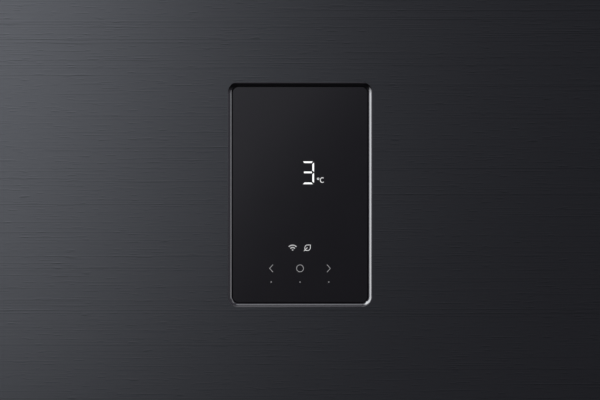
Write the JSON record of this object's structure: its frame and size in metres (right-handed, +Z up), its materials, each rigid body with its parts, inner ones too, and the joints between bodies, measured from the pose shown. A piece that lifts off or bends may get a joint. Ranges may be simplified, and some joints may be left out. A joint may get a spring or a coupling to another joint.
{
  "type": "refrigerator",
  "caption": "Tall single-door refrigerator with a dark brushed steel door, a recessed touch display, glass shelves, crisper drawers and lift-out door bins.",
  "frame": {"origin": "on the floor, in the middle of the footprint of the refrigerator with its door shut", "axes": "+Z up, the front with the door faces -Y, the hinges are on the +X side"},
  "size_m": [0.941, 1.1479, 1.853],
  "materials": {
    "door_steel": "dark brushed stainless steel, grain across the door",
    "rim_steel": "polished steel rim",
    "cabinet_paint": "dark grey painted sheet",
    "zinc_steel": "zinc-plated sheet",
    "black_paint": "black enamel",
    "copper": "copper tube",
    "aluminium": "bare aluminium fins and tube",
    "white_liner": "white thermoformed plastic",
    "white_plastic": "white moulded plastic",
    "dark_plastic": "dark moulded plastic",
    "foam": "rigid polyurethane foam",
    "shelf_glass": "toughened glass",
    "shelf_trim": "silver grey edging",
    "clear_plastic": "clear moulded plastic",
    "gasket": "dark grey magnetic seal",
    "rubber": "black rubber",
    "display_glass": "black printed glass",
    "board": "green circuit board",
    "lamp": "frosted lens over light diodes",
    "nylon": "natural nylon"
  },
  "bodies": {
    "cabinet": {"back_panel": "zinc_steel", "base_pan": "zinc_steel", "bottom_hinge": "cabinet_paint", "cabinet_foam": "foam", "cabinet_liner": "white_liner", "compressor": "black_paint", "compressor_grommets": "rubber", "condenser": "black_paint", "condenser_fan_motor": "black_paint", "control_box": "dark_plastic", "crisper_cover_frame": "shelf_trim", "crisper_cover_glass": "shelf_glass", "drain_tube": "white_plastic", "duct_cover": "white_plastic", "evaporation_tray": "white_plastic", "evaporator": "aluminium", "evaporator_fan_motor": "aluminium", "fasteners": "zinc_steel", "kick_plate": "dark_plastic", "lamp_housing": "white_plastic", "lamp_lens": "lamp", "machine_bulkhead": "zinc_steel", "machine_cover": "dark_plastic", "power_inlet": "dark_plastic", "refrigerant_pipes": "copper", "relay_cover": "dark_plastic", "shelf_glass_1": "shelf_glass", "shelf_glass_2": "shelf_glass", "shelf_glass_3": "shelf_glass", "shelf_glass_4": "shelf_glass", "shelf_trims": "shelf_trim", "side_panel_left": "cabinet_paint", "side_panel_right": "cabinet_paint", "top_hinge": "cabinet_paint", "top_hinge_cover": "dark_plastic", "top_panel": "cabinet_paint"},
    "door": {"display_bezel": "rim_steel", "display_board": "board", "display_glass": "display_glass", "display_housing": "dark_plastic", "door_bottom_cap": "dark_plastic", "door_foam": "foam", "door_gasket": "gasket", "door_handle": "dark_plastic", "door_liner": "white_liner", "door_skin": "door_steel", "door_top_cap": "dark_plastic", "hinge_bushes": "nylon"},
    "foot_left": {"foot_left": "dark_plastic"},
    "foot_right": {"foot_right": "dark_plastic"},
    "roller_left": {"roller_left": "rubber"},
    "roller_right": {"roller_right": "rubber"},
    "condenser_fan": {"condenser_fan": "dark_plastic"},
    "evaporator_fan": {"evaporator_fan": "white_plastic"},
    "crisper_drawer_lower": {"crisper_drawer_lower": "clear_plastic"},
    "crisper_drawer_upper": {"crisper_drawer_upper": "clear_plastic"},
    "door_bin_1": {"door_bin_1": "clear_plastic"},
    "door_bin_2": {"door_bin_2": "clear_plastic"},
    "door_bin_3": {"door_bin_3": "clear_plastic"},
    "door_bin_4": {"door_bin_4": "clear_plastic"}
  },
  "joints": [
    {"name": "door_hinge", "type": "hinge", "parent": "cabinet", "child": "door", "pos_m": [0.2835, -0.311, 0], "axis": [0, 0, 1], "range_deg": [-125, 0]},
    {"name": "lower_drawer_slide", "type": "slide", "parent": "cabinet", "child": "crisper_drawer_lower", "axis": [0, -1, 0], "range_m": [0, 0.22]},
    {"name": "upper_drawer_slide", "type": "slide", "parent": "cabinet", "child": "crisper_drawer_upper", "axis": [0, -1, 0], "range_m": [0, 0.3]},
    {"name": "condenser_fan_spin", "type": "hinge", "parent": "cabinet", "child": "condenser_fan", "pos_m": [0, 0.25615, 0.112], "axis": [1, 0, 0], "continuous": true},
    {"name": "evaporator_fan_spin", "type": "hinge", "parent": "cabinet", "child": "evaporator_fan", "pos_m": [0, 0.287, 0.66], "axis": [0, 1, 0], "continuous": true},
    {"name": "foot_left_turn", "type": "hinge", "parent": "cabinet", "child": "foot_left", "pos_m": [-0.2535, -0.237, 0], "axis": [0, 0, 1], "continuous": true},
    {"name": "roller_left_spin", "type": "hinge", "parent": "cabinet", "child": "roller_left", "pos_m": [-0.2575, 0.302, 0.016], "axis": [1, 0, 0], "continuous": true},
    {"name": "foot_right_turn", "type": "hinge", "parent": "cabinet", "child": "foot_right", "pos_m": [0.2535, -0.237, 0], "axis": [0, 0, 1], "continuous": true},
    {"name": "roller_right_spin", "type": "hinge", "parent": "cabinet", "child": "roller_right", "pos_m": [0.2575, 0.302, 0.016], "axis": [1, 0, 0], "continuous": true},
    {"name": "bin_1_lift", "type": "slide", "parent": "door", "child": "door_bin_1", "axis": [0, 0, 1], "range_m": [0, 0.06]},
    {"name": "bin_2_lift", "type": "slide", "parent": "door", "child": "door_bin_2", "axis": [0, 0, 1], "range_m": [0, 0.06]},
    {"name": "bin_3_lift", "type": "slide", "parent": "door", "child": "door_bin_3", "axis": [0, 0, 1], "range_m": [0, 0.06]},
    {"name": "bin_4_lift", "type": "slide", "parent": "door", "child": "door_bin_4", "axis": [0, 0, 1], "range_m": [0, 0.06]}
  ]
}
